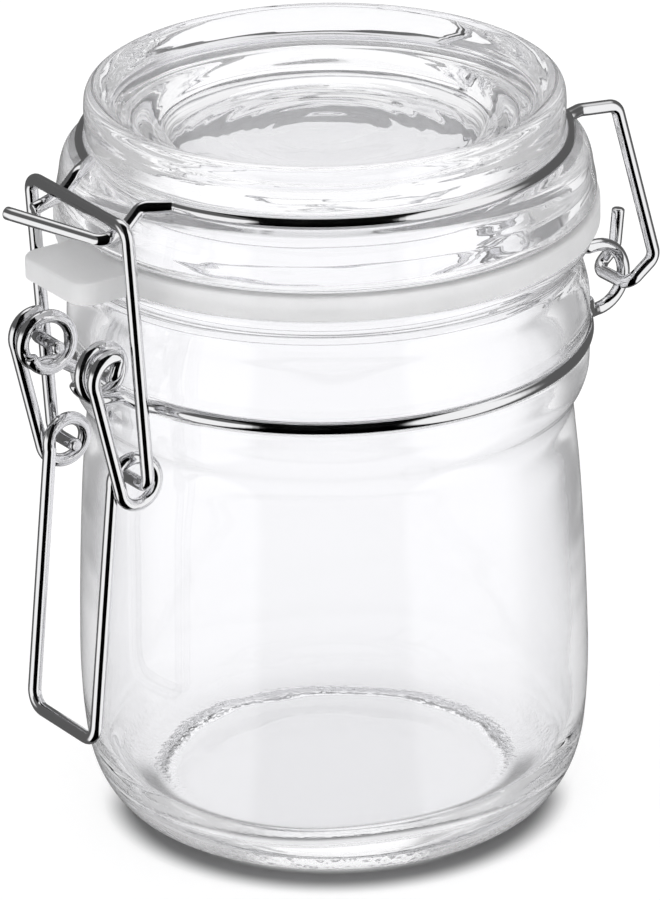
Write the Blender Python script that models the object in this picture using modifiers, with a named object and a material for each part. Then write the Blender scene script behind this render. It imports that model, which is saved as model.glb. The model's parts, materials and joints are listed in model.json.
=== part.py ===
"""A half-litre clip-top glass storage jar: turned glass, rubber ring, and a latch and hinge of bent wire.

Metres, +Z up. The origin is the centre of the underside. The latch is at -Y and the hinge at +Y.
Sizes below are in millimetres and are scaled by MM where a shape is made.
"""

import math

import bmesh
import bpy
from mathutils import Vector

MM = 0.001
GAP = 0.3
TURN_STEPS = 48

# Heights of the levels that everything else hangs on.
HEIGHT = 132.0
NECK_WIRE_Z = 87.0
MOUTH_Z = 106.7
SEAL_HEIGHT = 4.4
LID_WIRE_Z = 122.8

# Radii of the glass.
BODY_R = 44.5
WAIST_R = 42.2
COLLAR_R = 45.1
MOUTH_R = 39.4
LIP_R = 45.9
SKIRT_R = 46.4
RIM_R = 41.2
SEAL_R = 46.9
WALL = 2.8
FLOOR_Z = 6.0

# The wire, and the radius of its rings round the neck and the lid.
WIRE_R = 1.15
NECK_RING_R = 44.6
LID_RING_R = 41.7
GROOVE_R = WIRE_R + GAP

# The latch, as (y, z): the lever's pivot, the clamp's pivot, the clamp's bar and the handle's foot.
LEVER_PIVOT = (-52.0, 94.4)
CLAMP_PIVOT = (-47.3, 74.2)
CLAMP_BAR = (-50.2, 121.9)
HANDLE_FOOT = (-56.2, 27.2)
EYELET_R = 4.5
EYELET_TURNS = 1.2
COIL_R = 4.0
COIL_PITCH = 2 * WIRE_R + 0.15
HANDLE_HALF = 9.9
STRAND_HALF = HANDLE_HALF + COIL_PITCH
CLAMP_HALF = STRAND_HALF + 2 * WIRE_R + GAP
PRONG_HALF = 9.8

# The hinge, as (y, z), and the sideways places of its loops and hooks.
HINGE = (51.6, 87.9)
LOOP_CENTRE = (48.2, 88.5)
LOOP_R = 6.0
LOOP_HALF = 12.0
LEG_HALF = 17.0
STUB_HALF = 7.6

# The rings run between these angles from the hinge. The back stretch of the neck wire ends at the first one.
BACK_RING_R = 45.9
BACK_RING_Z = 98.2
BACK_END = 10.5
RING_START = 26
RING_END = 162

# Inside bend radii of the wire, from tight to open.
PIN_BEND = 1.6
LOOP_BEND = 1.8
RING_BEND = 2.0
LEG_BEND = 2.2
PRONG_BEND = 2.4
EYELET_BEND = 2.6
HANDLE_BEND = 3.2

# The pull tab of the rubber ring.
TAB_HALF = 9.5
TAB_REACH = 56.6
TAB_THICK = 4.0
TAB_CORNER = 3.0


def clear_scene():
    for obj in list(bpy.data.objects):
        bpy.data.objects.remove(obj, do_unlink=True)


def make_collection(name):
    collection = bpy.data.collections.new(name)
    bpy.context.scene.collection.children.link(collection)
    return collection


def make_material(name, colour, roughness, metallic=0.0, transmission=0.0, ior=1.45):
    material = bpy.data.materials.new(name)
    material.use_nodes = True
    shader = material.node_tree.nodes["Principled BSDF"]
    shader.inputs["Base Color"].default_value = (*colour, 1.0)
    shader.inputs["Roughness"].default_value = roughness
    shader.inputs["Metallic"].default_value = metallic
    shader.inputs["Transmission Weight"].default_value = transmission
    shader.inputs["IOR"].default_value = ior
    material.diffuse_color = (*colour, 1.0)
    return material


def arc(centre, radius, start, end, steps):
    """Points of an arc in a plane, angles in degrees."""
    angles = [math.radians(start + (end - start) * i / steps) for i in range(steps + 1)]
    return [(centre[0] + radius * math.cos(a), centre[1] + radius * math.sin(a)) for a in angles]


def rounded(points, radius, steps=4):
    """The same open path with each inner corner replaced by an arc of this radius, or a smaller one."""
    points = [Vector(p) for p in points]
    path = [points[0]]
    for before, corner, after in zip(points, points[1:], points[2:]):
        back, on = (before - corner), (after - corner)
        turn = math.pi - back.angle(on)
        if turn < 0.05:
            path.append(corner)
            continue
        reach = min(radius * math.tan(turn / 2), 0.49 * back.length, 0.49 * on.length)
        start, end = corner + back.normalized() * reach, corner + on.normalized() * reach
        bend = reach / math.tan(turn / 2)
        middle = corner + (back.normalized() + on.normalized()).normalized() * (bend / math.cos(turn / 2))
        count = max(2, round(steps * turn / (math.pi / 2)))
        first = start - middle
        axis = first.cross(end - middle).normalized()
        for i in range(count + 1):
            angle = turn * i / count
            path.append(middle + first * math.cos(angle) + axis.cross(first) * math.sin(angle))
    path.append(points[-1])
    return path


def mirrored(points):
    return [Vector((-p[0], p[1], p[2])) for p in points]


def finish(obj, collection, material, parent=None, origin=(0.0, 0.0, 0.0)):
    """Links the object at its origin, in millimetres, and hangs it on its parent."""
    collection.objects.link(obj)
    obj.data.materials.append(material)
    obj.location = Vector(origin) * MM
    if parent:
        obj.parent = parent
        obj.location = obj.location - Vector(parent["axis_mm"]) * MM
    return obj


def make_pivot(name, collection, place, parent=None):
    pivot = bpy.data.objects.new(name, None)
    pivot.empty_display_size = 0.01
    pivot["axis_mm"] = place
    pivot.location = Vector(place) * MM
    collection.objects.link(pivot)
    if parent:
        pivot.parent = parent
        pivot.location = pivot.location - Vector(parent["axis_mm"]) * MM
    return pivot


def turned(name, profile, closed, collection, material, parent=None):
    """A turned piece: its (radius, height) profile under a Screw modifier."""
    mesh = bpy.data.meshes.new(name)
    edges = [(i, i + 1) for i in range(len(profile) - 1)]
    if closed:
        edges.append((len(profile) - 1, 0))
    mesh.from_pydata([(r * MM, 0.0, z * MM) for r, z in profile], edges, [])
    obj = bpy.data.objects.new(name, mesh)
    screw = obj.modifiers.new("Turn", "SCREW")
    screw.axis = "Z"
    screw.steps = screw.render_steps = TURN_STEPS
    screw.use_merge_vertices = True
    screw.merge_threshold = 0.00001
    screw.use_smooth_shade = True
    return finish(obj, collection, material, parent)


def wire(name, points, collection, material, parent=None, origin=(0.0, 0.0, 0.0)):
    """A round wire along these points, with its object's origin at the given place."""
    curve = bpy.data.curves.new(name, "CURVE")
    curve.dimensions = "3D"
    curve.bevel_depth = WIRE_R * MM
    curve.bevel_resolution = 2
    curve.use_fill_caps = True
    spline = curve.splines.new("POLY")
    spline.points.add(len(points) - 1)
    for spot, point in zip(spline.points, points):
        spot.co = (*((Vector(point) - Vector(origin)) * MM), 1.0)
    spline.use_smooth = True
    obj = bpy.data.objects.new(name, curve)
    return finish(obj, collection, material, parent, origin)


def groove(radius, height, start, end):
    """The half-round groove that a wire ring lies in, on the outside of turned glass."""
    return arc((radius, height), GROOVE_R, start, end, 6)


def jar_profile():
    inner = [
        (0, FLOOR_Z - 0.4),
        (28, FLOOR_Z),
        (35, FLOOR_Z + 1.2),
        (39.2, FLOOR_Z + 4.0),
        (41.0, 15),
        (BODY_R - WALL, 25),
        (BODY_R - WALL - 0.3, 42),
        (40.4, 60),
        (WAIST_R - WALL, 73),
        (40.3, 82),
        (40.2, 92),
        (MOUTH_R, 99),
        (MOUTH_R, MOUTH_Z - 0.8),
        (MOUTH_R + 0.8, MOUTH_Z),
    ]
    lip = [(LIP_R - 0.9, MOUTH_Z), (LIP_R, MOUTH_Z - 0.8), (LIP_R - 0.2, 105), (44.2, 103), (43.4, 101.3)]
    collar = [(44.0, 98.5), (44.9, 94.5), (COLLAR_R, 91)]
    ring = groove(NECK_RING_R, NECK_WIRE_Z, 75, 285)
    below = [(45.0, 83), (44.8, 80.4), (44.0, 78.2), (42.6, 76), (WAIST_R, 73.5), (42.5, 69.5)]
    body = [(43.2, 61), (44.0, 46), (44.4, 34), (BODY_R, 25), (44.1, 18), (43.4, 12.5)]
    heel = [(42.4, 8), (40.9, 4.5), (39.0, 2.1), (36.6, 0.6), (33.8, 0), (0, 0)]
    return inner + lip + collar + ring + below + body + heel


def lid_profile():
    recess = [(0, 124.0), (26.8, 124.3), (28.4, 125.4), (30.2, 126.4), (33.6, 127.6), (36.6, 129.9)]
    rim = [(38.2, 131.5), (39.4, HEIGHT), (40.4, 131.6), (41.0, 130.6), (RIM_R, 129), (RIM_R - 0.1, 126)]
    ring = groove(LID_RING_R, LID_WIRE_Z, 122, 270)
    skirt = [(43.5, 121.2), (44.6, 120.6), (45.4, 119.2), (45.9, 116.2), (SKIRT_R, 113.5)]
    seat_z = MOUTH_Z + SEAL_HEIGHT + 2 * GAP
    seat = [(45.6, seat_z), (MOUTH_R + 0.2, seat_z)]
    plug = [(38.6, seat_z - 0.6), (38.2, 109), (37.3, 107.8), (36.0, 107.8), (35.2, 109)]
    under = [(34.6, 113), (32.4, 116.6), (27, 118.8), (0, 119.4)]
    return recess + rim + ring + skirt + seat + plug + under


def make_seal(collection, helpers, material, parent):
    """The rubber ring under the lid, with a tab that stands out at the latch."""
    low, high = MOUTH_Z + GAP, MOUTH_Z + GAP + SEAL_HEIGHT
    inner = MOUTH_R - 0.3
    profile = [(inner, high), (SEAL_R - 0.5, high), (SEAL_R, high - 0.5), (SEAL_R, low + 0.5), (SEAL_R - 0.5, low)]
    seal = turned("seal_ring", profile + [(inner, low)], True, collection, material, parent)
    curve = bpy.data.curves.new("seal_tab", "CURVE")
    curve.dimensions = "2D"
    curve.fill_mode = "BOTH"
    curve.extrude = TAB_THICK / 2 * MM
    root = SEAL_R - 4
    outline = [(TAB_HALF, -root), (-TAB_HALF, -root)]
    outline += arc((TAB_CORNER - TAB_HALF, TAB_CORNER - TAB_REACH), TAB_CORNER, 180, 270, 4)
    outline += arc((TAB_HALF - TAB_CORNER, TAB_CORNER - TAB_REACH), TAB_CORNER, 270, 360, 4)
    spline = curve.splines.new("POLY")
    spline.points.add(len(outline) - 1)
    for spot, (x, y) in zip(spline.points, outline):
        spot.co = (x * MM, y * MM, 0.0, 1.0)
    spline.use_cyclic_u = True
    flat = bpy.data.objects.new("seal_tab_outline", curve)
    helpers.objects.link(flat)
    graph = bpy.context.evaluated_depsgraph_get()
    mesh = bpy.data.meshes.new_from_object(flat.evaluated_get(graph))
    bpy.data.objects.remove(flat, do_unlink=True)
    weld_points(mesh)
    tab = bpy.data.objects.new("seal_tab", mesh)
    tab.location = (0, 0, ((low + high) / 2) * MM)
    tab.hide_render = True
    tab.display_type = "WIRE"
    helpers.objects.link(tab)
    union = seal.modifiers.new("Tab", "BOOLEAN")
    union.operation = "UNION"
    union.object = tab
    return seal


def weld_points(mesh):
    work = bmesh.new()
    work.from_mesh(mesh)
    bmesh.ops.remove_doubles(work, verts=work.verts, dist=0.000001)
    bmesh.ops.recalc_face_normals(work, faces=work.faces)
    work.to_mesh(mesh)
    work.free()


def ring_arc(radius, height, start, end, steps):
    """Part of a level wire ring. The angle starts at the hinge and turns towards +X."""
    points = arc((0, 0), radius, 90 - start, 90 - end, steps)
    return [Vector((x, y, height)) for x, y in points]


def eyelet():
    """The coil at one front end of the neck wire, wound inwards round the lever's pivot."""
    steps = round(16 * EYELET_TURNS)
    points = []
    for i in range(steps + 1):
        share = i / steps
        angle = math.radians(-90 + 360 * EYELET_TURNS * share)
        x = PRONG_HALF - COIL_PITCH * EYELET_TURNS * share
        y = LEVER_PIVOT[0] - EYELET_R * math.cos(angle)
        points.append(Vector((x, y, LEVER_PIVOT[1] + EYELET_R * math.sin(angle))))
    return points


def neck_wire_half():
    """From the middle of the back, out round the hinge loop, along the groove, to the front eyelet."""
    back = ring_arc(BACK_RING_R, BACK_RING_Z, 0, BACK_END, 2)
    top = LOOP_CENTRE[1] + LOOP_R
    low = LOOP_CENTRE[1] - LOOP_R
    into = [(LOOP_HALF, 45.6, top), (LOOP_HALF, LOOP_CENTRE[0], top)]
    loop = [(LOOP_HALF, y, z) for y, z in arc(LOOP_CENTRE, LOOP_R, 90, -90, 8)]
    out = [(LOOP_HALF + 0.4, 46.6, low), (16.4, 43.3, NECK_WIRE_Z - 0.4)]
    start = rounded([back[-1], *into], LOOP_BEND)
    leave = rounded([loop[-1], *out, ring_arc(NECK_RING_R, NECK_WIRE_Z, 24, 24, 1)[0]], RING_BEND)
    side = ring_arc(NECK_RING_R, NECK_WIRE_Z, RING_START, RING_END, 22)
    coil = eyelet()
    front = rounded([side[-1], (PRONG_HALF, -45.2, NECK_WIRE_Z + 0.2), (PRONG_HALF, -48.8, 89.7), coil[1]], EYELET_BEND)
    return back[:-1] + start[:-1] + [Vector(p) for p in loop] + leave[1:] + side[:-1] + front[:-1] + coil[2:]


def make_neck_wire(collection, material):
    half = neck_wire_half()
    return wire("neck_wire", mirrored(half)[:0:-1] + half, collection, material)


def lid_wire_half():
    """From the hook at the hinge, up the leg, round the lid's groove, to the foot of the front prong."""
    hook = [
        (STUB_HALF, 56.4, 98.2),
        (STUB_HALF, 55.6, 91.2),
        (STUB_HALF, *HINGE),
        (LEG_HALF, *HINGE),
        (LEG_HALF, 57.4, 91.9),
        (LEG_HALF, 49.1, 121.9),
        (LEG_HALF, 41.2, LID_WIRE_Z),
    ]
    side = ring_arc(LID_RING_R, LID_WIRE_Z, RING_START, RING_END, 20)
    return rounded([*hook, side[0]], LEG_BEND) + side[1:]


def make_lid_wires(collection, material, parent):
    origin = (0.0, *HINGE)
    prong = [
        (PRONG_HALF, -44.0, LID_WIRE_Z),
        (PRONG_HALF, -47.2, 119.7),
        (PRONG_HALF, -51.7, 118.3),
    ]
    tongue = (-9.5, -58.7, 119.1)
    half = lid_wire_half()
    short_end = (PRONG_HALF, -53.2, 118.2)
    right = half[:-1] + rounded([half[-1], *prong, tongue], PRONG_BEND)
    left = half[:-1] + rounded([half[-1], *prong[:2], short_end], PRONG_BEND)
    wire("lid_wire_right", right, collection, material, parent, origin)
    wire("lid_wire_left", mirrored(left), collection, material, parent, origin)


def lever_half():
    """From the middle of the handle's foot, up its leg, round the clamp's pin, to the pin at the pivot."""
    foot = [(0, *HANDLE_FOOT), (HANDLE_HALF, *HANDLE_FOOT)]
    steps = 16
    coil = []
    for i in range(steps + 1):
        angle = math.radians(-8 + 360 * i / steps)
        y = CLAMP_PIVOT[0] - COIL_R * math.cos(angle)
        z = CLAMP_PIVOT[1] + COIL_R * math.sin(angle)
        coil.append(Vector((HANDLE_HALF + COIL_PITCH * i / steps, y, z)))
    hook = [(STRAND_HALF, -y, z) for y, z in arc((-LEVER_PIVOT[0], LEVER_PIVOT[1]), COIL_R, -20, 110, 5)]
    pin = [(STRAND_HALF, *LEVER_PIVOT), (4.4, *LEVER_PIVOT)]
    lower = rounded([*foot, coil[0]], HANDLE_BEND)
    upper = rounded([hook[-2], hook[-1], *pin], PIN_BEND)
    return lower[:-1] + coil + [Vector(p) for p in hook[:-1]] + upper[1:]


def make_lever(collection, material, parent):
    half = lever_half()
    wire("lever", mirrored(half)[:0:-1] + half, collection, material, parent, (0.0, *LEVER_PIVOT))


def make_clamp(collection, material, parent):
    half = [
        (0, *CLAMP_BAR),
        (CLAMP_HALF, *CLAMP_BAR),
        (CLAMP_HALF, *CLAMP_PIVOT),
        (7.4, *CLAMP_PIVOT),
    ]
    half = rounded(half, PRONG_BEND)
    wire("clamp", mirrored(half)[:0:-1] + half, collection, material, parent, (0.0, *CLAMP_PIVOT))


def main():
    clear_scene()
    jar = make_collection("glass_storage_jar")
    helpers = make_collection("helpers")
    glass = make_material("clear_glass", (0.96, 0.97, 0.98), 0.02, transmission=1.0, ior=1.5)
    rubber = make_material("frosted_rubber", (0.80, 0.80, 0.80), 0.45, transmission=0.3)
    steel = make_material("polished_steel", (0.72, 0.72, 0.72), 0.12, metallic=1.0)

    lid_pivot = make_pivot("lid_pivot", jar, (0.0, *HINGE))
    lever_pivot = make_pivot("lever_pivot", jar, (0.0, *LEVER_PIVOT))
    clamp_pivot = make_pivot("clamp_pivot", jar, (0.0, *CLAMP_PIVOT), lever_pivot)

    turned("jar_glass", jar_profile(), False, jar, glass)
    make_neck_wire(jar, steel)
    turned("lid_glass", lid_profile(), False, jar, glass, lid_pivot)
    make_seal(jar, helpers, rubber, lid_pivot)
    make_lid_wires(jar, steel, lid_pivot)
    make_lever(jar, steel, lever_pivot)
    make_clamp(jar, steel, clamp_pivot)


main()
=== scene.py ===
"""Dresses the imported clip-top storage jar: smooth pressed glass, a frosted rubber ring and polished wire.

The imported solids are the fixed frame. Each visible piece is a surface worked out here, stands for its
CAD node and rides on that node's body. Profiles and paths are in millimetres, all other lengths in metres.
"""

import json
import math

import bpy
import numpy as np
from bpy.props import FloatProperty, FloatVectorProperty, IntProperty, PointerProperty
from mathutils import Matrix, Vector


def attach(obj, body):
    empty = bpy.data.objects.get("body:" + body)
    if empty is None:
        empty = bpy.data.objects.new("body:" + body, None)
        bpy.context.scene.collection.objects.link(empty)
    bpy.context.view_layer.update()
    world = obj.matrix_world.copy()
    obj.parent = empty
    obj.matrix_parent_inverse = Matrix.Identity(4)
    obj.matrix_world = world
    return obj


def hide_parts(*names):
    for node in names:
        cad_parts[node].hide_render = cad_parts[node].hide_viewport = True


bl_info = {
    "name": "Clip-top storage jar",
    "version": (1, 0, 0),
    "blender": (4, 5, 0),
    "location": "View3D > Sidebar > Jar",
    "description": "Builds the glass, rubber and wire of a clip-top storage jar round its packed solids",
    "category": "Add Mesh",
}

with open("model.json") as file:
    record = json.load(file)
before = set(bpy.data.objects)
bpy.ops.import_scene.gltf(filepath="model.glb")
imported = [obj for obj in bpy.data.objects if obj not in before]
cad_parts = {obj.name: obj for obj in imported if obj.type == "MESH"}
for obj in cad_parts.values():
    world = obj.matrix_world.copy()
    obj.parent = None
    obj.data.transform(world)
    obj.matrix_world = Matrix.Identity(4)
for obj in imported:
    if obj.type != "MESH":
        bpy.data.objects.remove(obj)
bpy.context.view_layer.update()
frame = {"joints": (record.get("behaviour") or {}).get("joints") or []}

MM = 0.001
PIVOTS = {joint["name"]: [v / MM for v in joint["pos_m"]] for joint in frame["joints"]}


# Curves in the plane and in space, in millimetres.

SAME_POINT = 0.01  # points of a path that are nearer than this are one point
STRAIGHT = 0.02  # a corner that turns by fewer radians stays as it is
BEND_SHARE = 0.49  # how much of a side a bend may use up
BEND_STEPS = 10  # points in a quarter turn


def smooth_curve(points, steps):
    """Centripetal Catmull-Rom curve: each span is a cubic that leaves along its neighbours."""
    points = np.asarray(points, float)
    ends = 2 * points[[0, -1]] - points[[1, -2]]
    knots = np.concatenate([ends[:1], points, ends[1:]])
    gaps = np.maximum(np.linalg.norm(np.diff(knots, axis=0), axis=1), 1e-6) ** 0.5
    p0, p1, p2, p3 = (knots[i : len(knots) - 3 + i] for i in range(4))
    g0, g1, g2 = (gaps[i : len(gaps) - 2 + i, None] for i in range(3))
    leave = g1 * ((p1 - p0) / g0 - (p2 - p0) / (g0 + g1) + (p2 - p1) / g1)
    reach = g1 * ((p2 - p1) / g1 - (p3 - p1) / (g1 + g2) + (p3 - p2) / g2)
    t = np.linspace(0, 1, steps, endpoint=False)[None, :, None]
    p1, p2, leave, reach = (v[:, None, :] for v in (p1, p2, leave, reach))
    spans = (
        (2 * t**3 - 3 * t**2 + 1) * p1
        + (t**3 - 2 * t**2 + t) * leave
        + (3 * t**2 - 2 * t**3) * p2
        + (t**3 - t**2) * reach
    )
    return np.concatenate([spans.reshape(-1, points.shape[1]), points[-1:]])


def arc(centre, radius, start, end, steps):
    """Points of an arc in a plane: centre + radius * (cos a, sin a), a in degrees from start to end."""
    a = np.radians(np.linspace(start, end, steps + 1))
    return np.stack([centre[0] + radius * np.cos(a), centre[1] + radius * np.sin(a)], axis=1)


def at_x(x, plane):
    """Puts (y, z) points on the plane at this x."""
    plane = np.asarray(plane, float)
    return np.column_stack([np.broadcast_to(x, len(plane)), plane])


def ring_arc(radius, height, start, end, steps):
    """Part of a level wire ring. The angle starts at the hinge and turns towards +X."""
    return np.column_stack([arc((0, 0), radius, 90 - start, 90 - end, steps), np.full(steps + 1, height)])


def rounded(points, radius):
    """The open path with its corners rounded to this radius, or to a smaller one where it is tight."""
    points = [Vector(p) for p in points]
    path = [points[0]]
    for before, corner, after in zip(points, points[1:], points[2:]):
        back, on = before - corner, after - corner
        turn = math.pi - back.angle(on)
        if turn < STRAIGHT:
            path.append(corner)
            continue
        reach = min(radius * math.tan(turn / 2), BEND_SHARE * back.length, BEND_SHARE * on.length)
        bend = reach / math.tan(turn / 2)
        start, end = corner + back.normalized() * reach, corner + on.normalized() * reach
        middle = corner + (back.normalized() + on.normalized()).normalized() * (bend / math.cos(turn / 2))
        first = start - middle
        axis = first.cross(end - middle).normalized()
        for angle in np.linspace(0, turn, max(3, round(BEND_STEPS * turn / (math.pi / 2)))):
            path.append(middle + first * math.cos(angle) + axis.cross(first) * math.sin(angle))
    path.append(points[-1])
    return np.array([tuple(p) for p in path])


def joined(*runs):
    """One path from several runs, without the points that fall on the one before."""
    path = np.concatenate([np.asarray(run, float).reshape(-1, 3) for run in runs])
    keep = np.concatenate([[True], np.linalg.norm(np.diff(path, axis=0), axis=1) > SAME_POINT])
    return path[keep]


def evened(path, spacing):
    """The path with points added on its long straight stretches, about one for each spacing."""
    along = np.concatenate([[0], np.cumsum(np.linalg.norm(np.diff(path, axis=0), axis=1))])
    marks = np.union1d(along, np.arange(0, along[-1], spacing))
    least = 0.05 * spacing
    marks = marks[np.concatenate([[True], np.diff(marks) > least])]
    marks[-1] = along[-1]
    return np.column_stack([np.interp(marks, along, path[:, i]) for i in range(3)])


def mirrored(path):
    return path * (-1, 1, 1)


# Surfaces: a grid of points made into a mesh.

WAVES = ((0.55, 2, 0.6), (0.3, 3, 2.1), (0.15, 7, 4.0))  # share, waves in a turn, phase
WIRE_STEP = 1.2  # most millimetres between two circles of a wire, or close to it
WIRE_END = ((0.0, 0.62), (0.06, 0.80), (0.2, 0.94), (0.4, 1.0))  # how far in, share of the radius there
END_CLEAR = 0.6  # the circles of the path itself start this far from an end


def new_piece(name, grid, row_wrap, caps=(None, None), uv=None):
    """A mesh of the grid of points (rows, columns, 3) in mm. Columns always wrap round, and rows if asked.
    A cap closes an end with a fan to its centre point. The enclosed volume says which way the faces point.
    """
    rows, columns = grid.shape[:2]
    points = grid.reshape(-1, 3)
    i = np.arange(rows if row_wrap else rows - 1)[:, None]
    j = np.arange(columns)[None, :]
    k, n = (j + 1) % columns, (i + 1) % rows
    here, there = i * columns, n * columns
    quads = np.stack(np.broadcast_arrays(here + j, here + k, there + k, there + j), axis=-1).reshape(-1, 4)
    fans = []
    for cap, row in zip(caps, (0, rows - 1)):
        if cap is not None:
            ring = row * columns + np.arange(columns)
            follow = np.roll(ring, -1)
            centre = np.full(columns, len(points))
            points = np.concatenate([points, [cap]])
            fans.append(np.stack([follow, ring, centre] if row == 0 else [ring, follow, centre], axis=-1))
    fans = np.concatenate(fans) if fans else np.zeros((0, 3), int)
    corners = np.concatenate([quads[:, [0, 1, 2]], quads[:, [0, 2, 3]], fans])
    if np.linalg.det(points[corners]).sum() < 0:
        quads, fans = quads[:, ::-1], fans[:, ::-1]
    mesh = bpy.data.meshes.new(name)
    mesh.vertices.add(len(points))
    mesh.vertices.foreach_set("co", (points * MM).astype(np.float32).ravel())
    loops = np.concatenate([quads.ravel(), fans.ravel()])
    mesh.loops.add(len(loops))
    mesh.loops.foreach_set("vertex_index", loops.astype(np.int32))
    starts = np.concatenate([4 * np.arange(len(quads)), 4 * len(quads) + 3 * np.arange(len(fans))])
    mesh.polygons.add(len(starts))
    mesh.polygons.foreach_set("loop_start", starts.astype(np.int32))
    mesh.polygons.foreach_set("use_smooth", np.ones(len(starts), bool))
    mesh.update(calc_edges=True)
    if uv is not None:
        write_uv(mesh, uv, loops, rows, columns)
    mesh.validate()
    obj = bpy.data.objects.new(name, mesh)
    bpy.context.scene.collection.objects.link(obj)
    return obj


def face_centres(mesh):
    centres = np.empty(3 * len(mesh.polygons), np.float32)
    mesh.polygons.foreach_get("center", centres)
    return centres.reshape(-1, 3)


def write_uv(mesh, lengths, loops, rows, columns):
    """U is the length along the wire in metres, and V the share of the way round it."""
    along = np.append(np.repeat(lengths, columns), [lengths[0], lengths[-1]])[loops]
    around = np.append(np.tile(np.arange(columns) / columns, rows), [0.5, 0.5])[loops]
    quads = 4 * (rows - 1) * columns
    face = around[:quads].reshape(-1, 4)
    # A face across the seam has values near 0 and near 1, and the low ones go on past 1.
    face[(face.max(axis=1) > 0.9)[:, None] & (face < 0.1)] += 1.0
    layer = mesh.uv_layers.new(name="Wire")
    layer.data.foreach_set("uv", np.column_stack([along, around]).astype(np.float32).ravel())


def turned(name, profile, steps, uneven=0.0):
    """A surface of revolution of the (r, z) profile, which starts and ends on the axis. The uneven part, one
    height for each row, goes up and down in a slow wave round the axis.
    """
    a = np.linspace(0, 2 * np.pi, steps, endpoint=False)
    wave = sum(share * np.sin(count * a + phase) for share, count, phase in WAVES)
    lift = np.broadcast_to(uneven, len(profile))[1:-1, None] * wave
    r, z = profile[1:-1, 0, None], profile[1:-1, 1, None] + lift
    grid = np.stack(np.broadcast_arrays(r * np.cos(a), r * np.sin(a), z), axis=-1)
    return new_piece(name, grid, False, caps=[(0, 0, profile[0, 1]), (0, 0, profile[-1, 1])])


def tube(name, path, radius, sides):
    """A round wire: each point of the path carries a circle at right angles to it. The running sum of the
    twist between neighbours turns each circle's starting point back, so that the surface doesn't twist.
    """
    path = evened(path, WIRE_STEP)
    lengths = np.concatenate([[0], np.cumsum(np.linalg.norm(np.diff(path, axis=0), axis=1))])
    tangent = np.gradient(path, lengths, axis=0)
    tangent /= np.linalg.norm(tangent, axis=1, keepdims=True)
    least = np.eye(3)[np.abs(tangent).argmin(axis=1)]
    side = np.cross(tangent, least)
    side /= np.linalg.norm(side, axis=1, keepdims=True)
    other = np.cross(tangent, side)
    axis = np.cross(tangent[:-1], tangent[1:])
    cosine = (tangent[:-1] * tangent[1:]).sum(axis=1, keepdims=True)
    moved = side[:-1] * cosine + np.cross(axis, side[:-1])
    moved += axis * (axis * side[:-1]).sum(axis=1, keepdims=True) / (1 + cosine)
    twist = np.arctan2((moved * other[1:]).sum(axis=1), (moved * side[1:]).sum(axis=1))
    turn = np.concatenate([[0], np.cumsum(twist)])[:, None]
    a = turn + np.linspace(0, 2 * np.pi, sides, endpoint=False)[None, :]
    ring = np.cos(a)[..., None] * side[:, None] + np.sin(a)[..., None] * other[:, None]
    cut = np.array(WIRE_END)
    first = path[0] + tangent[0] * cut[:, :1]
    last = path[-1] - tangent[-1] * cut[::-1, :1]
    middle = (lengths > END_CLEAR) & (lengths < lengths[-1] - END_CLEAR)
    centres = np.concatenate([first, path[middle], last])
    ends = [np.repeat(ring[[end]], len(cut), 0) for end in (0, -1)]
    circles = np.concatenate([ends[0], ring[middle], ends[1]])
    sizes = radius * np.concatenate([cut[:, 1], np.ones(middle.sum()), cut[::-1, 1]])
    marks = np.concatenate([cut[:, 0], lengths[middle], lengths[-1] - cut[::-1, 0]])
    grid = centres[:, None] + circles * sizes[:, None, None]
    return new_piece(name, grid, False, caps=[path[0], path[-1]], uv=marks * MM)


# The profiles of the glass, as (radius, height) in millimetres.

NECK_RING = (44.6, 87.0)  # where the middle of each wire ring runs
LID_RING = (41.7, 122.8)
GROOVE_R = 1.45
NECK_GROOVE = (75, 285, 10)  # from and to, in degrees of the wire's circle, and the number of steps
LID_GROOVE = (122, 262, 9)
FLOOR_EDGE = (18, 38)  # radii between which the inner floor grows uneven
FLOOR_FADE = (30, 12)  # heights on the wall between which that fades in


def jar_profile(punt):
    """Inside from the floor up to the mouth, over the lip, down collar and body to the foot, and the punt."""
    floor = [(0, 5.6), (14, 5.7), (26, 6.0), (33, 6.7), (37.4, 8.4), (40.2, 11.6), (41.3, 16), (41.7, 25)]
    wall = [(41.4, 42), (40.4, 60), (39.6, 68), (39.4, 73), (39.7, 77.5), (40.2, 82), (40.4, 87), (40.2, 92)]
    mouth = [(39.7, 96), (39.4, 99), (39.4, 105.6), (39.6, 106.4), (40.2, 106.7)]
    lip = [(42.5, 106.7), (45.0, 106.7), (45.7, 106.4), (45.9, 105.8), (45.6, 104.7), (44.3, 103)]
    collar = [(43.5, 101.2), (43.6, 99.4), (44.3, 97.2), (44.9, 94.5), (45.1, 91), (45.0, 89.2)]
    groove = arc(NECK_RING, GROOVE_R, *NECK_GROOVE)
    shoulder = [(45.05, 84.6), (45.0, 83), (44.8, 80.4), (44.0, 78.0), (42.8, 75.9), (42.2, 73.4)]
    body = [(42.45, 69.5), (43.2, 61), (44.0, 46), (44.4, 34), (44.5, 25), (44.1, 17), (43.4, 11.5)]
    foot = [(42.1, 7.2), (40.0, 3.6), (37.8, 1.4), (35.2, 0.25), (33.4, 0), (31.6, 0.25), (29.5, 0.9)]
    under = [(24, punt * 0.8), (14, punt), (0, punt * 1.06)]
    return np.concatenate([floor, wall, mouth, lip, collar, groove, shoulder, body, foot, under])


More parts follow.
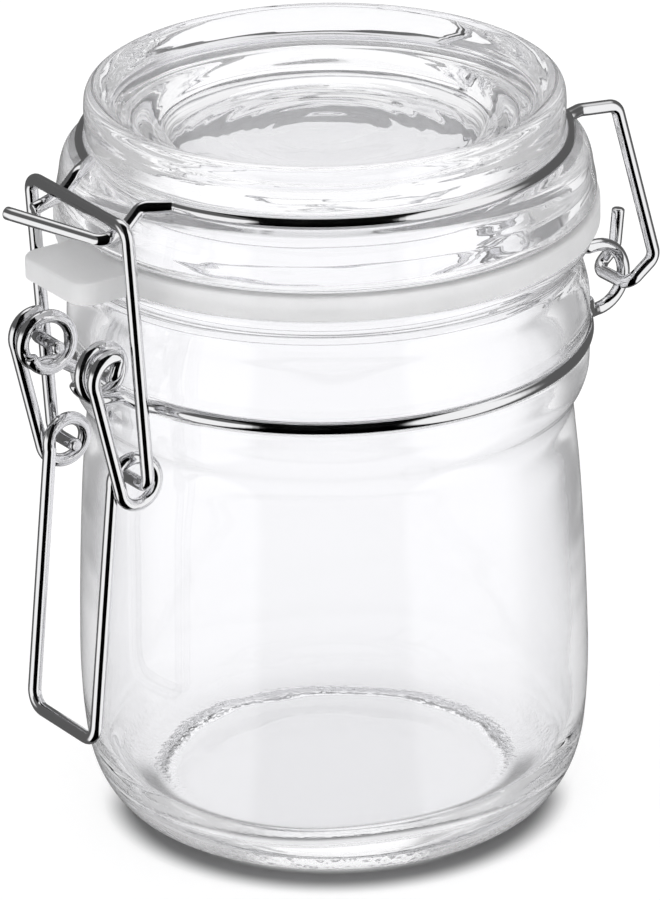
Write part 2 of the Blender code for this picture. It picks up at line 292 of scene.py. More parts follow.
def floor_unevenness(profile, most):
    """How far the inner floor is out of true at each point: most at its rounded edge, nothing elsewhere."""
    r, z = profile.T
    inside = np.arange(len(r)) < r.argmax()
    out = (r - FLOOR_EDGE[0]) / (FLOOR_EDGE[1] - FLOOR_EDGE[0])
    down = (FLOOR_FADE[0] - z) / (FLOOR_FADE[0] - FLOOR_FADE[1])
    edge = np.clip(out, 0, 1) * np.clip(down, 0, 1)
    return most * inside * edge * edge * (3 - 2 * edge)


def lid_profile():
    """The dished top, its rim, the wire's groove, the skirt, the flat seat on the rubber, and the plug."""
    dish = [(0, 124.0), (14, 124.05), (24.5, 124.2), (27.4, 124.6), (28.6, 125.5), (30.0, 126.3)]
    slope = [(33.2, 127.2), (35.8, 129.0), (37.4, 130.8)]
    rim = [(38.5, 131.75), (39.4, 132.0), (40.4, 131.6), (41.0, 130.6), (41.2, 129), (41.15, 126.4)]
    groove = arc(LID_RING, GROOVE_R, *LID_GROOVE)
    skirt = [(42.7, 121.2), (44.0, 120.9), (44.9, 120.1), (45.5, 118.6), (45.9, 116.2), (46.3, 113.9)]
    seat = [(46.2, 112.5), (45.5, 111.75), (44.0, 111.7), (41, 111.7), (39.6, 111.7), (38.9, 111.4)]
    plug = [(38.4, 110.2), (38.1, 108.8), (37.5, 107.95), (36.6, 107.7), (35.8, 108), (35.2, 109)]
    under = [(34.7, 111.6), (34.3, 113.6), (33.2, 115.6), (30.6, 117.5), (26.6, 118.6)]
    ceiling = [(18, 119.2), (0, 119.4)]
    return np.concatenate([dish, slope, rim, groove, skirt, seat, plug, under, ceiling])


# The rubber ring, in millimetres.

SEAL_MIDDLE = 109.2
SEAL_INNER = 39.1
SEAL_OUTER = 46.9
SEAL_HALF = 2.2
SEAL_CORNER = 0.5
TAB_HALF = 9.5
TAB_REACH = 56.6
TAB_THIN = 2.0
TAB_ROOT = 1.6  # fillet where the tab leaves the circle
TAB_CORNER = 3.2
THINNING = (0.6, 1.6)  # how far inside the circle the tab starts to grow thinner, and over what length


def seal_outline():
    """The outer edge seen from above: the circle, and a pull tab with rounded corners under the latch."""
    root, corner = TAB_ROOT, TAB_CORNER
    inside = SEAL_OUTER + root
    foot_x = TAB_HALF + root
    foot_y = math.sqrt(inside**2 - foot_x**2)
    lean = math.degrees(math.atan2(foot_y, foot_x))
    tip = arc((TAB_HALF - corner, corner - TAB_REACH), corner, -90, 0, 10)
    side = np.column_stack([np.full(9, TAB_HALF), np.linspace(corner - TAB_REACH, -foot_y, 11)[1:-1]])
    fillet = arc((foot_x, -foot_y), root, 180, 180 - lean, 10)
    front = np.column_stack([np.linspace(0, TAB_HALF - corner, 6)[:-1], np.full(5, -TAB_REACH)])
    start = math.degrees(math.atan2(foot_x, foot_y))
    circle = arc((0, 0), SEAL_OUTER, start - 90, 90, 150)
    half = np.concatenate([front, tip, side, fillet, circle[1:]])
    return np.concatenate([half, half[-2:0:-1] * (-1, 1)])


def seal_grid():
    """Each point of the outline carries a flat, round-cornered section that runs inwards along the radius.
    Its thickness falls by a smooth step from the ring's to the tab's, from just inside the circle outwards.
    """
    outline = seal_outline()
    reach = np.linalg.norm(outline, axis=1)
    outward = outline / reach[:, None]
    corner = arc((0, 0), SEAL_CORNER, 0, 90, 5)
    run = np.linspace(0, 1, 12)[1:-1]
    outer = np.column_stack([corner[:, 0] - SEAL_CORNER, corner[:, 1] + SEAL_HALF - SEAL_CORNER])
    # Each point of the section is a share of the way out, an offset along the radius and a height.
    top = [(1.0, *point) for point in outer]
    top += [(1 - t, SEAL_CORNER * (2 * t - 1), SEAL_HALF) for t in run]
    top += [(0.0, -point[0], point[1]) for point in outer[::-1]]
    section = np.array(top + [(share, offset, -height) for share, offset, height in top[::-1]])
    share, offset, height = section.T[:, None, :]
    radius = SEAL_INNER + share * (reach[:, None] - SEAL_INNER) + offset
    step = np.clip((radius - SEAL_OUTER + THINNING[0]) / THINNING[1], 0, 1)
    step = step * step * (3 - 2 * step)
    z = SEAL_MIDDLE + height * (1 - step * (1 - TAB_THIN / SEAL_HALF))
    return np.stack([radius * outward[:, :1], radius * outward[:, 1:], z], axis=-1)


# The wires, as paths in millimetres, worked out for the right half. A name in HALF is a distance from the
# middle plane, and one in BEND the radius of a wire's bends.

LEVER_PIVOT = PIVOTS["lever_pivot"][1:]
CLAMP_PIVOT = PIVOTS["clamp_pivot"][1:]
HINGE = PIVOTS["lid_hinge"][1:]
COIL_PITCH = 2.45
COIL_R = 4.0
COIL_POINTS = 40  # in one turn
EYELET_R = 4.5
EYELET_TURNS = 1.2
HANDLE_HALF = 9.9
STRAND_HALF = HANDLE_HALF + COIL_PITCH
PIVOT_PIN_HALF = 4.4
CLAMP_HALF = 14.95
CLAMP_PIN_HALF = 7.4
PRONG_HALF = 9.8
HOOK_HALF = 7.6
LEG_HALF = 17.0
LOOP_HALF = 12.0
LOOP_CENTRE = (48.2, 88.5)
LOOP_R = 6.0
BACK_RING = (45.9, 98.2)  # radius and height of the neck wire's stretch at the back
BACK_END = 10.5  # degrees from the hinge, as are the next three
NECK_START = 24
LID_START = 26
RING_END = 162
BACK_BEND, NECK_BEND, EYELET_BEND = 1.8, 2.0, 2.6
LEG_BEND, PRONG_BEND, HANDLE_BEND, PIN_BEND, CLAMP_BEND = 2.2, 2.4, 3.2, 1.6, 2.4


def coil(centre, radius, start, turns, x_start, x_end):
    """A screw line about an axis along X: 0 degrees points to the front of the jar and 90 upwards."""
    share = np.linspace(0, 1, round(COIL_POINTS * turns) + 1)
    a = np.radians(start + 360 * turns * share)
    x = x_start + (x_end - x_start) * share
    return np.column_stack([x, centre[0] - radius * np.cos(a), centre[1] + radius * np.sin(a)])


def neck_wire_path():
    """Back stretch, hinge loop, the ring in the groove, and the coiled eyelet of the lever's pivot."""
    top, low = LOOP_CENTRE[1] + LOOP_R, LOOP_CENTRE[1] - LOOP_R
    back = ring_arc(*BACK_RING, 0, BACK_END, 6)
    into = rounded([back[-1], (LOOP_HALF, 45.6, top), (LOOP_HALF, LOOP_CENTRE[0], top)], BACK_BEND)
    loop = at_x(LOOP_HALF, arc(LOOP_CENTRE, LOOP_R, 90, -90, 26))
    side = ring_arc(*NECK_RING, NECK_START, RING_END, 90)
    leave = rounded([loop[-1], (12.4, 46.6, low), (16.4, 43.3, 86.6), side[0]], NECK_BEND)
    inner = PRONG_HALF - COIL_PITCH * EYELET_TURNS
    eyelet = coil(LEVER_PIVOT, EYELET_R, -90, EYELET_TURNS, PRONG_HALF, inner)
    stem = [(PRONG_HALF, -45.2, 87.2), (PRONG_HALF, -48.8, 89.7)]
    front = rounded([side[-1], *stem, eyelet[2]], EYELET_BEND)
    half = joined(back, into, loop, leave, side, front, eyelet[3:])
    return joined(mirrored(half)[::-1], half)


def lid_wire_path(tongue):
    """The hook in the hinge loop, the leg, the ring in the lid's groove, and the prong at the front."""
    hook = [(HOOK_HALF, 56.4, 98.2), (HOOK_HALF, 55.6, 91.2), (HOOK_HALF, *HINGE)]
    leg = [(LEG_HALF, *HINGE), (LEG_HALF, 57.3, 91.9), (LEG_HALF, 49.1, 121.9), (LEG_HALF, 41.2, 122.8)]
    side = ring_arc(*LID_RING, LID_START, RING_END, 90)
    prong = [(PRONG_HALF, -44.0, 122.8), (PRONG_HALF, -47.2, 119.7)]
    prong += [(PRONG_HALF, -51.7, 118.3), (-9.5, -58.7, 119.1)] if tongue else [(PRONG_HALF, -53.2, 118.2)]
    return joined(rounded([*hook, *leg, side[0]], LEG_BEND), side, rounded([side[-1], *prong], PRONG_BEND))


def lever_path():
    """The handle's foot and leg, the coil on the clamp's pin, the hook round the pivot, and the pin in it."""
    foot = (-56.2, 27.2)
    loop = coil(CLAMP_PIVOT, COIL_R, -8, 1, HANDLE_HALF, STRAND_HALF)
    hook = at_x(STRAND_HALF, arc((-LEVER_PIVOT[0], LEVER_PIVOT[1]), COIL_R, -20, 110, 18) * (-1, 1))
    lower = rounded([(0, *foot), (HANDLE_HALF, *foot), loop[0]], HANDLE_BEND)
    pin = [(STRAND_HALF, *LEVER_PIVOT), (PIVOT_PIN_HALF, *LEVER_PIVOT)]
    upper = rounded([hook[-2], hook[-1], *pin], PIN_BEND)
    half = joined(lower, loop, hook[:-1], upper)
    return joined(mirrored(half)[::-1], half)


def clamp_path():
    """The bar over the prongs, the side strands, and the two pins that turn in the lever's coils."""
    bar = (-50.2, 121.9)
    pin = [(CLAMP_HALF, *CLAMP_PIVOT), (CLAMP_PIN_HALF, *CLAMP_PIVOT)]
    half = rounded([(0, *bar), (CLAMP_HALF, *bar), *pin], CLAMP_BEND)
    return joined(mirrored(half)[::-1], half)


# Materials. Depths are in metres, and the scales of patterns in repeats a metre. For the wire's lines and
# patches the first scale is for a metre along the wire and the second for a turn round it.

EDGE_POWER = 3  # how close to the glass's edge its painted dark outline stays
STIPPLE_SCALE = 800.0
STIPPLE_INNER, STIPPLE_TOP = 0.0285, 0.0052  # inner radius and upper limit of the stippled foot, in metres
RIPPLE_SCALE = (30.0, 30.0, 95.0)
STREAK_ROUND, STREAK_OUT, STREAK_UP = 24.0, 190.0, 260.0
STREAK_SOFT = 0.0002  # softens the rings at the middle of the lid, in square metres
RUBBER_INDEX = 1.3
CLOUD_SCALE, GRAIN_SCALE = 90.0, 1800.0
CLOUD_SHADE = 0.94
GRAIN_DEPTH = 0.00006
LINE_SCALE, PATCH_SCALE = (60.0, 34.0, 1.0), (220.0, 2.0, 1.0)
LINE_DEPTH = 0.000006


class Socket:
    """An output of a shader node. Arithmetic on it adds Math nodes to the same tree."""

    def __init__(self, tree, socket):
        self.tree, self.socket = tree, socket

    def maths(self, operation, *values):
        return add_node(self.tree, "ShaderNodeMath", {"operation": operation}, dict(enumerate(values)))

    def __add__(self, other):
        return self.maths("ADD", self, other)

    def __sub__(self, other):
        return self.maths("SUBTRACT", self, other)

    def __rsub__(self, other):
        return self.maths("SUBTRACT", other, self)

    def __mul__(self, other):
        return self.maths("MULTIPLY", self, other)

    def __truediv__(self, other):
        return self.maths("DIVIDE", self, other)

    def __pow__(self, other):
        return self.maths("POWER", self, other)


def add_node(tree, kind, settings=None, inputs=None, output=0):
    """Adds one node with its settings, and the value or link of each socket. Returns the output asked for."""
    node = tree.nodes.new(kind)
    for name, value in (settings or {}).items():
        setattr(node, name, value)
    for key, value in (inputs or {}).items():
        if isinstance(value, Socket):
            tree.links.new(value.socket, node.inputs[key])
        else:
            node.inputs[key].default_value = value
    return Socket(tree, node.outputs[output])


def smooth_step(value, low, high, start=0.0, end=1.0):
    return add_node(
        value.tree,
        "ShaderNodeMapRange",
        {"interpolation_type": "SMOOTHSTEP"},
        {"Value": value, "From Min": low, "From Max": high, "To Min": start, "To Max": end},
    )


def noise(tree, vector, scale, detail=3.0, roughness=0.5):
    values = {"Vector": vector, "Scale": scale, "Detail": detail, "Roughness": roughness}
    return add_node(tree, "ShaderNodeTexNoise", {}, values, "Fac")


def stretched(tree, vector, scale):
    return add_node(tree, "ShaderNodeMapping", {}, {"Vector": vector, "Scale": scale})


def object_place(tree):
    return add_node(tree, "ShaderNodeTexCoord", output="Object")


def parts_of(tree, vector):
    first = add_node(tree, "ShaderNodeSeparateXYZ", {}, {"Vector": vector})
    outputs = first.socket.node.outputs
    return [Socket(tree, outputs[axis]) for axis in "XYZ"]


def bumped(tree, height, distance):
    return add_node(tree, "ShaderNodeBump", {}, {"Height": height, "Distance": distance, "Strength": 1.0})


def new_material(name, values):
    """A material with one Principled shader that holds its constants, its tree, and that shader."""
    material = bpy.data.materials.new(name)
    material.use_nodes = True
    tree = material.node_tree
    shader = tree.nodes["Principled BSDF"]
    for key, value in values.items():
        shader.inputs[key].default_value = value
    return material, tree, shader


def link(tree, source, shader, name):
    tree.links.new(source.socket, shader.inputs[name])


def glass_material(name, settings, stippled=False, streaked=False):
    """Clear pressed glass, whose colour is darkened where it is seen edge on: a painted dark outline. The
    plain kind has the long soft ripples of the mould, the stippled one the fine grain of the jar's foot, and
    the streaked one, for the lid, level streaks up its side and rings on its top.
    """
    values = {"Transmission Weight": 1.0, "IOR": settings.index, "Roughness": 0.0}
    material, tree, shader = new_material(name, values)
    place = object_place(tree)
    grazing = add_node(tree, "ShaderNodeLayerWeight", {}, {"Blend": 0.5}, "Facing")
    # Painted shade: the glass's colour is darkened where it is seen edge on, drawing a dark outline.
    painted_edge_dimming = 1 - grazing**EDGE_POWER * settings.outline
    tint = {index: painted_edge_dimming * share for index, share in enumerate(settings.colour)}
    link(tree, add_node(tree, "ShaderNodeCombineColor", {}, tint), shader, "Base Color")
    if stippled:
        cells = {"Vector": place, "Scale": STIPPLE_SCALE}
        height, depth = add_node(tree, "ShaderNodeTexVoronoi", {}, cells, "Distance"), settings.stipple
    elif streaked:
        x, y, z = parts_of(tree, place)
        level = z * STREAK_UP + (x * x + y * y + STREAK_SOFT) ** 0.5 * STREAK_OUT
        bands = {0: x * STREAK_ROUND, 1: y * STREAK_ROUND, 2: level}
        rings = add_node(tree, "ShaderNodeCombineXYZ", {}, bands)
        height, depth = noise(tree, rings, 1.0, 2.0), settings.streak
    else:
        height, depth = noise(tree, stretched(tree, place, RIPPLE_SCALE), 1.0, 1.0), settings.ripple
    link(tree, bumped(tree, height, depth), shader, "Normal")
    return material


def rubber_material(name, settings):
    """Translucent moulded rubber: matt, with a fine grain and a slightly cloudy inside."""
    values = {"Transmission Weight": settings.clearness, "IOR": RUBBER_INDEX}
    material, tree, shader = new_material(name, values)
    place = object_place(tree)
    cloud = noise(tree, place, CLOUD_SCALE, 4.0, 0.6)
    colour = Vector(settings.colour)
    # A mix of colours takes its factor at socket 0 and the colours at 6 and 7, and gives the result at 2.
    mixed = {0: smooth_step(cloud, 0.3, 0.7), 6: (*(colour * CLOUD_SHADE), 1.0), 7: (*colour, 1.0)}
    link(tree, add_node(tree, "ShaderNodeMix", {"data_type": "RGBA"}, mixed, 2), shader, "Base Color")
    grain = noise(tree, place, GRAIN_SCALE, 2.0)
    base = settings.roughness
    link(tree, smooth_step(grain + cloud, 0.6, 1.4, base - 0.06, base + 0.08), shader, "Roughness")
    link(tree, bumped(tree, grain * 0.6 + cloud * 0.4, GRAIN_DEPTH), shader, "Normal")
    return material


def steel_material(name, settings):
    """Polished drawn wire: fine die lines along it, and faint changes of polish."""
    material, tree, shader = new_material(name, {"Metallic": 1.0, "Base Color": (*settings.colour, 1.0)})
    place = add_node(tree, "ShaderNodeUVMap", {"uv_map": "Wire"})
    lines = noise(tree, stretched(tree, place, LINE_SCALE), 1.0, 3.0, 0.6)
    patches = noise(tree, stretched(tree, place, PATCH_SCALE), 1.0, 3.0)
    base = settings.roughness
    polish = smooth_step(lines * 0.6 + patches * 0.4, 0.3, 0.7, base * 0.6, base * 1.6)
    link(tree, polish, shader, "Roughness")
    link(tree, bumped(tree, lines, LINE_DEPTH), shader, "Normal")
    return material


# The settings that a user would change.


class GlassSettings(bpy.types.PropertyGroup):
    """Sizes and finish of the pressed glass."""

    steps: IntProperty(
        name="Steps round", description="Faces round each turned piece", default=192, min=24, max=256
    )
    finish: IntProperty(
        name="Steps a span", description="Rows between two profile points", default=5, min=2, max=8
    )
    punt: FloatProperty(
        name="Punt", description="Rise under the jar", default=0.0014, subtype="DISTANCE", precision=4
    )
    ripple: FloatProperty(
        name="Ripple", description="Depth of the ripples", default=0.0002, subtype="DISTANCE", precision=6
    )
    streak: FloatProperty(
        name="Streak", description="Depth of lid's streaks", default=0.0003, subtype="DISTANCE", precision=6
    )
    stipple: FloatProperty(
        name="Stipple", description="Depth of foot's grain", default=0.00008, subtype="DISTANCE", precision=6
    )
    uneven: FloatProperty(
        name="Uneven",
        description="How far the inner floor is out of true",
        default=0.0007,
        subtype="DISTANCE",
        precision=6,
    )
    index: FloatProperty(name="Index", description="How much glass bends light", default=1.5, min=1, max=2)
    # Strength of the painted dark outline, which darkens the glass's colour where it is seen edge on.
    outline: FloatProperty(
        name="Outline",
        description="Share of light lost where the glass is seen edge on",
        default=0.45,
        subtype="FACTOR",
        min=0,
        max=1,
    )
    colour: FloatVectorProperty(
        name="Colour", description="Tint of the glass", subtype="COLOR", size=3, default=(0.968, 0.968, 0.979)
    )


class RubberSettings(bpy.types.PropertyGroup):
    """Finish of the rubber ring."""

    colour: FloatVectorProperty(
        name="Colour", description="Colour of the ring", subtype="COLOR", size=3, default=(0.96, 0.96, 0.965)
    )
    roughness: FloatProperty(
        name="Roughness", description="How matt the ring is", default=0.42, subtype="FACTOR", min=0.1, max=0.9
    )
    clearness: FloatProperty(
        name="Clearness", description="Light let through", default=0.4, subtype="FACTOR", min=0, max=1
    )


class WireSettings(bpy.types.PropertyGroup):
    """Size and finish of the wires."""

    radius: FloatProperty(
        name="Radius", description="Radius of the wire", default=0.00115, subtype="DISTANCE", precision=5
    )
    sides: IntProperty(name="Sides", description="Faces round the wire", default=24, min=8, max=64)
    roughness: FloatProperty(
        name="Roughness", description="How matt the steel is", default=0.07, subtype="FACTOR", min=0, max=1
    )
    colour: FloatVectorProperty(
        name="Colour", description="Colour of the steel", subtype="COLOR", size=3, default=(0.78, 0.78, 0.79)
    )


class StageSettings(bpy.types.PropertyGroup):
    """Floor, light and camera."""

    floor: FloatVectorProperty(
        name="Floor", description="Colour of the floor", subtype="COLOR", size=3, default=(0.3, 0.3, 0.303)
    )
    glow: FloatProperty(name="Glow", description="Light that the floor gives of itself", default=0.77, min=0)
    # Strength of the painted shadow beside the foot.
    shade: FloatProperty(
        name="Shade", description="Glow lost beside the foot", default=1.0, subtype="FACTOR", min=0, max=1
    )
    # Outer radius of the painted shadow beside the foot.
    contact: FloatProperty(
        name="Contact", description="Where the shade ends", default=0.0425, subtype="DISTANCE", precision=4
    )
    # Strength of the painted dark flags on the floor.
    flag: FloatProperty(
        name="Flags", description="Glow lost in the flags", default=0.65, subtype="FACTOR", min=0, max=1
    )
    light: FloatProperty(name="Light", description="Brightness of the white tent", default=1.12, min=0)
    grey: FloatProperty(name="Grey gaps", description="Brightness of the tent's gaps", default=0.62, min=0)
    dark: FloatProperty(name="Strip", description="Brightness of the strip in mirrors", default=0.0, min=0)
    mirror: FloatProperty(name="Room", description="Brightness of the room in mirrors", default=0.12, min=0)
    bounces: IntProperty(name="Bounces", description="Times that light may turn in glass", default=32, min=4)
    azimuth: FloatProperty(
        name="Azimuth", description="Turn from the front", default=math.radians(56.0), subtype="ANGLE"
    )
    elevation: FloatProperty(
        name="Elevation", description="Angle over the floor", default=math.radians(23.3), subtype="ANGLE"
    )
    roll: FloatProperty(name="Roll", description="Camera's roll", default=math.radians(1.0), subtype="ANGLE")
    distance: FloatProperty(name="Distance", description="Camera to aim", default=1.38, subtype="DISTANCE")
    lens: FloatProperty(name="Lens", description="Focal length", default=317.96, unit="CAMERA")
    aim: FloatProperty(
        name="Aim", description="Height of the camera's aim", default=0.065, subtype="DISTANCE", precision=3
    )


class JarSettings(bpy.types.PropertyGroup):
    """All settings of the jar."""

    glass: PointerProperty(type=GlassSettings)
    rubber: PointerProperty(type=RubberSettings)
    wire: PointerProperty(type=WireSettings)
    stage: PointerProperty(type=StageSettings)


# Operators: one for each piece or group of like pieces, and one for the stage.


def dress(piece, material, body, node):
    """Gives the piece its material, and puts it in place of its CAD node on that node's body."""
    piece.data.materials.append(material)
    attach(piece, body)
    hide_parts(node)


class JAR_OT_body(bpy.types.Operator):
    """Adds the glass body of the jar"""

    bl_idname = "jar.body"
    bl_label = "Glass body"

    def execute(self, context):
        glass = context.scene.jar.glass
        profile = smooth_curve(jar_profile(glass.punt / MM), glass.finish)
        piece = turned("glass_body", profile, glass.steps, floor_unevenness(profile, glass.uneven / MM))
        dress(piece, glass_material("clear_glass", glass), "jar", "jar_glass")
        piece.data.materials.append(glass_material("stippled_glass", glass, stippled=True))
        centres = face_centres(piece.data)
        foot = (np.linalg.norm(centres[:, :2], axis=1) > STIPPLE_INNER) & (centres[:, 2] < STIPPLE_TOP)
        piece.data.polygons.foreach_set("material_index", foot.astype(np.int32))
        return {"FINISHED"}


class JAR_OT_lid(bpy.types.Operator):
    """Adds the glass lid"""

    bl_idname = "jar.lid"
    bl_label = "Glass lid"

    def execute(self, context):
        glass = context.scene.jar.glass
        piece = turned("glass_lid", smooth_curve(lid_profile(), glass.finish), glass.steps)
        material = glass_material("clear_lid_glass", glass, streaked=True)
        dress(piece, material, "lid", "lid_glass")
        return {"FINISHED"}


class JAR_OT_seal(bpy.types.Operator):
    """Adds the rubber ring with its pull tab"""

    bl_idname = "jar.seal"
    bl_label = "Rubber ring"

    def execute(self, context):
        piece = new_piece("rubber_ring", seal_grid(), True)
        material = rubber_material("frosted_rubber", context.scene.jar.rubber)
        dress(piece, material, "lid", "seal_ring")
        return {"FINISHED"}


class JAR_OT_wires(bpy.types.Operator):
    """Adds the bent wires: neck ring, lid rings, lever and clamp"""

    bl_idname = "jar.wires"
    bl_label = "Wires"

    def execute(self, context):
        wire = context.scene.jar.wire
        steel = steel_material("polished_steel", wire)
        paths = {
            "neck_wire": ("jar", neck_wire_path()),
            "lid_wire_right": ("lid", lid_wire_path(True)),
            "lid_wire_left": ("lid", mirrored(lid_wire_path(False))),
            "lever": ("lever", lever_path()),
            "clamp": ("clamp", clamp_path()),
        }
        for node, (body, path) in paths.items():
            piece = tube(f"{node}_polished", path, wire.radius / MM, wire.sides)
            dress(piece, steel, body, node)
        return {"FINISHED"}


class JAR_OT_stage(bpy.types.Operator):
    """Adds the floor, the white surroundings and the camera"""

    bl_idname = "jar.stage"
    bl_label = "Stage"

    def execute(self, context):
        stage = context.scene.jar.stage
        add_floor(stage)
        add_surroundings(context.scene, stage)
        add_camera(context.scene, stage)
        context.scene.view_settings.view_transform = "Standard"
        # Light passes the thick rim and heel many times, and a path that is cut short there shows as black.
        cycles = context.scene.cycles
        cycles.max_bounces = cycles.glossy_bounces = cycles.transmission_bounces = stage.bounces
        return {"FINISHED"}


# The floor, in metres. A pair is a smooth step, from where it starts to where it ends. Angles are degrees
# from the camera's azimuth, to both sides.

FLOOR_HALF = 4.0
FLOOR_LEVEL = -0.00002
# A painted contact shadow: the floor's glow is lowered in a ring round the foot.
PAINTED_SHADE_SHIFT = 0.003  # how far the painted shadow's ring lies towards the camera
PAINTED_SHADE_START = (0.030, 0.034)
PAINTED_SHADE_FULL = 0.036  # from here the painted shadow fades out to its contact radius
PAINTED_SHADE_FRONT = (-0.25, 0.2)  # as cosines: the painted shadow is dark on the camera's side only
# Painted dark flags: patches of lower glow behind the jar, seen only by light that has come through the
# glass, which paint dark streaks into it.
PAINTED_FLAG_OUTER, PAINTED_FLAG_INNER = (161, 143), (136, 112)
PAINTED_FLAG_START = (0.09, 0.17)

# The surroundings. Pairs and angles are as above, and the other numbers are parts of a unit direction.

GAP_OUTER, GAP_INNER = (168, 160), (100, 90)
ROOM_BACK = (104, 84)
ROOM_LEFT, ROOM_LEFT_FOOT = (-0.3, -0.6), (0.15, 0.4)
STRIP_EDGE, STRIP_END = (0.58, 0.48), (-0.2, 0.0)
SCREEN_TOP = (0.8, 0.6)

# The camera.

CAMERA_SHIFT = (0.00014, 0.00102, 0)  # metres that the aim lies right of the picture's middle and above it
SENSOR = 36.0  # millimetres
CLIP = (0.05, 50.0)  # nearest and farthest, in metres


def add_floor(stage):
    """A square plane at the foot of the jar, plain and pale. It glows like a lit white table. A narrow shadow
    is painted into its glow beside the foot on the camera's side. Two painted dark patches, the flags, lie
    behind the jar, one at each side, and show only to light that has come through the glass.
    """
    mesh = bpy.data.meshes.new("floor")
    corners = [(x * FLOOR_HALF, y * FLOOR_HALF, FLOOR_LEVEL) for x, y in ((-1, -1), (1, -1), (1, 1), (-1, 1))]
    mesh.from_pydata(corners, [], [(0, 1, 2, 3)])
    floor = bpy.data.objects.new("floor", mesh)
    bpy.context.scene.collection.objects.link(floor)
    values = {
        "Base Color": (*stage.floor, 1.0),
        "Roughness": 0.9,
        "Specular IOR Level": 0.0,
        "Emission Strength": stage.glow,
    }
    material, tree, shader = new_material("pale_floor", values)
    x, y, _ = parts_of(tree, object_place(tree))
    sine, cosine = math.sin(stage.azimuth), math.cos(stage.azimuth)
    x, y = x - PAINTED_SHADE_SHIFT * sine, y + PAINTED_SHADE_SHIFT * cosine
    radius = (x * x + y * y) ** 0.5
    towards = (x * sine - y * cosine) / radius
    # Painted shadow: the glow is lowered in a ring beside the foot on the camera's side.
    ring = smooth_step(radius, *PAINTED_SHADE_START) * smooth_step(radius, stage.contact, PAINTED_SHADE_FULL)
    # Painted dark flags: behind the jar the glow is lowered for light that has come through the glass, and
    # for no other.
    through = add_node(tree, "ShaderNodeLightPath", output="Is Transmission Ray")
    flag = azimuth_step(towards, *PAINTED_FLAG_OUTER) - azimuth_step(towards, *PAINTED_FLAG_INNER)
    flag = flag * smooth_step(radius, *PAINTED_FLAG_START) * through
    glow = (1 - ring * smooth_step(towards, *PAINTED_SHADE_FRONT) * stage.shade) * (1 - flag * stage.flag)
    grey = add_node(tree, "ShaderNodeCombineColor", {}, {0: glow, 1: glow, 2: glow})
    link(tree, grey, shader, "Emission Color")
    mesh.materials.append(material)
    floor.visible_glossy = False


def azimuth_step(towards, outer, inner):
    """Rises from 0 to 1 between two angles from the camera's azimuth, given the cosine of that angle."""
    return smooth_step(towards, math.cos(math.radians(outer)), math.cos(math.radians(inner)))


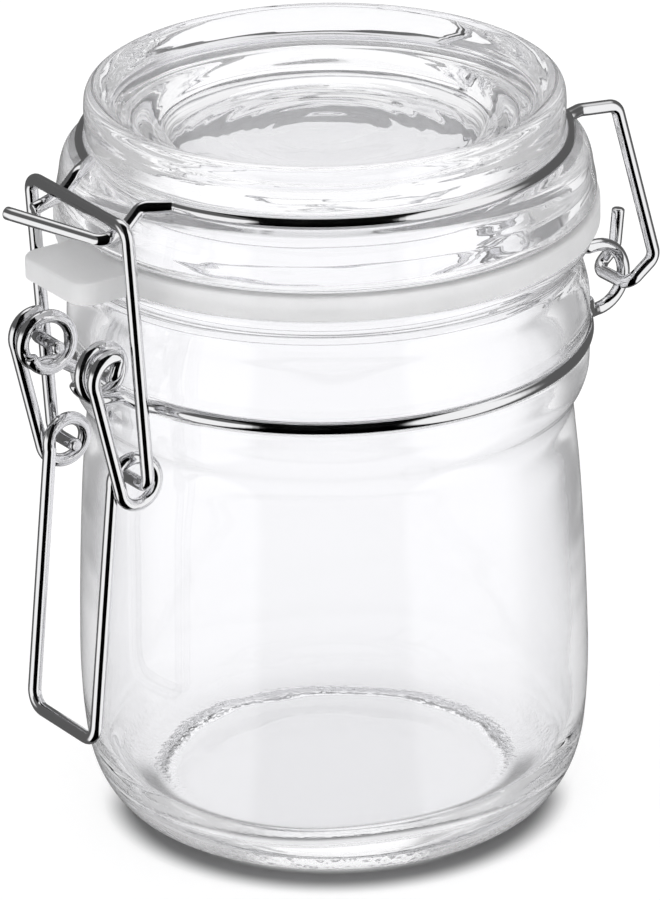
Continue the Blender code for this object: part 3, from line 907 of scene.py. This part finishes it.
def add_surroundings(scene, stage):
    """A white tent, with a grey gap at each side between its backdrop and its side screens. Mirrors see a
    room that is dim at the left and behind the jar, and a black strip on the camera's side that runs from
    below the horizon up over the top.
    """
    world = bpy.data.worlds.new("white_tent")
    scene.world = world
    world.use_nodes = True
    tree = world.node_tree
    x, y, z = parts_of(tree, add_node(tree, "ShaderNodeTexCoord", output="Generated"))
    sine, cosine = math.sin(stage.azimuth), math.cos(stage.azimuth)
    forward = x * sine - y * cosine
    across = x * cosine + y * sine
    # The small number keeps the division safe straight above.
    towards = forward / (x * x + y * y + 1e-6) ** 0.5
    # Refracted rays count as glossy too, and diffuse ones as reflected. A mirror's ray is one that is both.
    glossy = add_node(tree, "ShaderNodeLightPath", output="Is Glossy Ray")
    mirrored_ray = glossy * Socket(tree, glossy.socket.node.outputs["Is Reflection Ray"])
    screens = smooth_step(z, *SCREEN_TOP)
    strip = smooth_step(across, *STRIP_EDGE) * smooth_step(across, *(-edge for edge in STRIP_EDGE))
    strip = strip * smooth_step(forward, *STRIP_END)
    left = smooth_step(across, *ROOM_LEFT) * smooth_step(z, *ROOM_LEFT_FOOT)
    behind = (1 - azimuth_step(towards, *ROOM_BACK)) * screens
    gap = (azimuth_step(towards, *GAP_OUTER) - azimuth_step(towards, *GAP_INNER)) * screens
    room = (1 - (1 - left) * (1 - behind)) * (stage.mirror - stage.light) + stage.light
    mirrors = strip * (stage.dark - room) + room
    tent = gap * (stage.grey - stage.light) + stage.light
    strength = tent + mirrored_ray * (mirrors - tent)
    background = tree.nodes["Background"]
    background.inputs["Color"].default_value = (1.0, 1.0, 1.0, 1.0)
    link(tree, strength, background, "Strength")


def add_camera(scene, stage):
    """The camera stands at its azimuth, elevation and distance from the aim, rolled about its own axis."""
    a, e = stage.azimuth, stage.elevation
    back = Vector((math.sin(a) * math.cos(e), -math.cos(a) * math.cos(e), math.sin(e)))
    turn = (-back).to_track_quat("-Z", "Y").to_matrix() @ Matrix.Rotation(-stage.roll, 3, "Z")
    middle = Vector((0, 0, stage.aim)) - turn @ Vector(CAMERA_SHIFT)
    data = bpy.data.cameras.new("camera")
    data.lens = stage.lens
    data.sensor_width = SENSOR
    data.clip_start, data.clip_end = CLIP
    camera = bpy.data.objects.new("camera", data)
    camera.matrix_world = Matrix.Translation(middle + back * stage.distance) @ turn.to_4x4()
    scene.collection.objects.link(camera)
    scene.camera = camera


class JAR_PT_panel(bpy.types.Panel):
    """Lists the settings and the steps that build the jar"""

    bl_label = "Storage jar"
    bl_idname = "JAR_PT_panel"
    bl_space_type = "VIEW_3D"
    bl_region_type = "UI"
    bl_category = "Jar"

    def draw(self, context):
        for group in ("glass", "rubber", "wire", "stage"):
            box = self.layout.box()
            box.label(text=group.capitalize())
            settings = getattr(context.scene.jar, group)
            for name in settings.bl_rna.properties.keys():
                if name not in ("rna_type", "name"):
                    box.prop(settings, name)
        for operator in OPERATORS:
            self.layout.operator(operator.bl_idname)


OPERATORS = (JAR_OT_body, JAR_OT_lid, JAR_OT_seal, JAR_OT_wires, JAR_OT_stage)
CLASSES = (GlassSettings, RubberSettings, WireSettings, StageSettings, JarSettings, *OPERATORS, JAR_PT_panel)


def register():
    for cls in CLASSES:
        bpy.utils.register_class(cls)
    bpy.types.Scene.jar = PointerProperty(type=JarSettings)


def unregister():
    del bpy.types.Scene.jar
    for cls in reversed(CLASSES):
        bpy.utils.unregister_class(cls)


def main():
    register()
    bpy.ops.jar.body()
    bpy.ops.jar.lid()
    bpy.ops.jar.seal()
    bpy.ops.jar.wires()
    bpy.ops.jar.stage()


if __name__ == "__main__":
    main()
